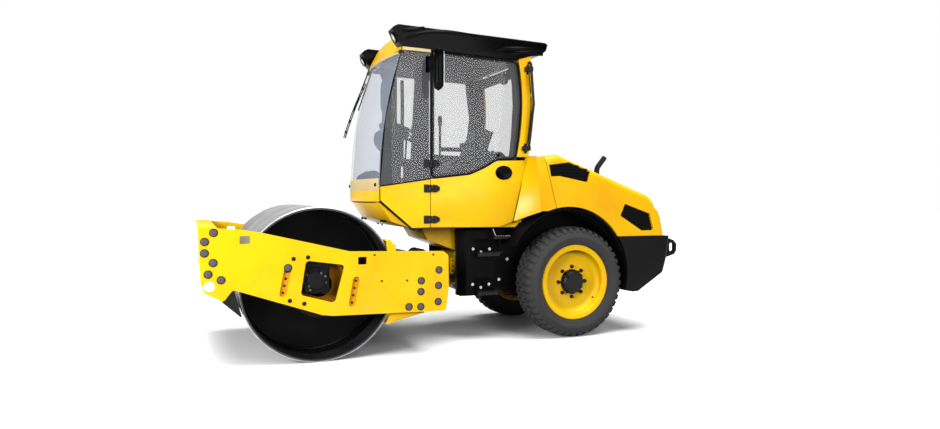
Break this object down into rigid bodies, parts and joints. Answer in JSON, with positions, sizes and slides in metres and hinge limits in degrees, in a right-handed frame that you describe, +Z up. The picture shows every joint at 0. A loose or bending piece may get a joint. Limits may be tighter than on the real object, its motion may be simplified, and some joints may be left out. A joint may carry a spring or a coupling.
{
  "type": "single-drum road roller",
  "caption": "Articulated road roller with a smooth steel drum in front, a glazed cab, a sloping engine hood and rubber-tyred driving wheels behind.",
  "frame": {"origin": "on the ground, half way along the machine and on its centre line", "axes": "+X forward, towards the drum; +Y to the machine's left; +Z up"},
  "size_m": [4.46, 1.83, 2.77],
  "materials": {
    "yellow_paint": "gloss",
    "yellow_shell": "gloss",
    "black_paint": "satin",
    "black_plastic": "matt",
    "black_gloss": "gloss",
    "interior_trim": "matt",
    "drum_steel": "worn bright",
    "chrome": "polished",
    "cast_black": "painted, satin",
    "engine_alloy": "cast",
    "screen_glass": "clear",
    "tinted_glass": "grey tint",
    "lamp_lens": "clear lens over reflector",
    "seat_fabric": "woven",
    "tyre_rubber": "matt"
  },
  "bodies": {
    "rear_frame": {"rear_frame": "yellow_paint", "rear_axle": "black_paint", "engine_block": "engine_alloy", "side_tanks": "black_plastic", "cab_steps": "black_paint", "rear_cowl": "yellow_shell", "arch_liners": "black_plastic", "counterweight": "cast_black", "cab_floor": "yellow_paint", "cab_nose": "yellow_paint", "cab_side_panels": "yellow_paint", "front_posts": "black_paint", "rear_posts": "yellow_paint", "windshield": "screen_glass", "quarter_glass": "tinted_glass", "rear_wall": "interior_trim", "rear_window": "tinted_glass", "roof": "black_plastic", "roof_header": "yellow_shell", "work_lights": "lamp_lens", "mirrors": "black_gloss", "seat": "seat_fabric", "steering_console": "interior_trim", "grab_handles": "black_paint"},
    "front_frame": {"side_plates": "yellow_paint", "front_crossmember": "yellow_paint", "rear_crossmember": "yellow_paint", "drum_carriers": "yellow_paint", "drum_motors": "black_paint", "front_scraper": "black_paint", "rear_scrapers": "yellow_paint"},
    "drum": {"drum_shell": "drum_steel", "drum_heads": "black_paint"},
    "yoke": {"articulation_yoke": "yellow_paint"},
    "steering_cylinder_barrel": {"steering_barrel": "black_paint"},
    "steering_cylinder_rod": {"steering_rod": "chrome"},
    "hood_lid": {"hood": "yellow_shell", "hood_grilles": "black_plastic", "exhaust_pipe": "black_paint"},
    "door_left": {"door_panel_left": "yellow_paint", "door_glass_left": "tinted_glass", "door_frame_left": "black_paint"},
    "door_right": {"door_panel_right": "yellow_paint", "door_glass_right": "tinted_glass", "door_frame_right": "black_paint"},
    "wheel_left": {"tyre_left": "tyre_rubber", "rim_left": "yellow_paint", "hub_left": "black_paint"},
    "wheel_right": {"tyre_right": "tyre_rubber", "rim_right": "yellow_paint", "hub_right": "black_paint"}
  },
  "joints": [
    {"name": "steering", "type": "hinge", "parent": "rear_frame", "child": "yoke", "pos_m": [0.105, 0, 0.6], "axis": [0, 0, 1], "range_deg": [-35, 35]},
    {"name": "oscillation", "type": "hinge", "parent": "yoke", "child": "front_frame", "pos_m": [0.37, 0, 0.6], "axis": [1, 0, 0], "range_deg": [-10, 10]},
    {"name": "drum_spin", "type": "hinge", "parent": "front_frame", "child": "drum", "pos_m": [1.345, 0, 0.61], "axis": [0, 1, 0], "continuous": true},
    {"name": "wheel_left_spin", "type": "hinge", "parent": "rear_frame", "child": "wheel_left", "pos_m": [-1.027, 0.615, 0.511], "axis": [0, 1, 0], "continuous": true},
    {"name": "wheel_right_spin", "type": "hinge", "parent": "rear_frame", "child": "wheel_right", "pos_m": [-1.027, -0.615, 0.511], "axis": [0, 1, 0], "continuous": true},
    {"name": "steering_barrel_swing", "type": "hinge", "parent": "rear_frame", "child": "steering_cylinder_barrel", "pos_m": [-0.455, 0.2, 0.6], "axis": [0, 0, 1], "range_deg": [-3, 3]},
    {"name": "steering_rod_slide", "type": "slide", "parent": "steering_cylinder_barrel", "child": "steering_cylinder_rod", "axis": [1, 0, 0], "range_m": [-0.1155, 0.1155]},
    {"name": "hood_lift", "type": "hinge", "parent": "rear_frame", "child": "hood_lid", "pos_m": [-0.68, 0, 1.68], "axis": [0, 1, 0], "range_deg": [0, 50]},
    {"name": "door_left_swing", "type": "hinge", "parent": "rear_frame", "child": "door_left", "pos_m": [0.345, 0.612, 1.6], "axis": [0, 0, -1], "range_deg": [0, 60]},
    {"name": "door_right_swing", "type": "hinge", "parent": "rear_frame", "child": "door_right", "pos_m": [0.345, -0.612, 1.6], "axis": [0, 0, 1], "range_deg": [0, 60]}
  ],
  "couplings": [
    {"joint": "steering_barrel_swing", "follows": "steering", "ratio": -0.0225},
    {"joint": "steering_rod_slide", "follows": "steering", "m_per_rad": -0.188}
  ]
}
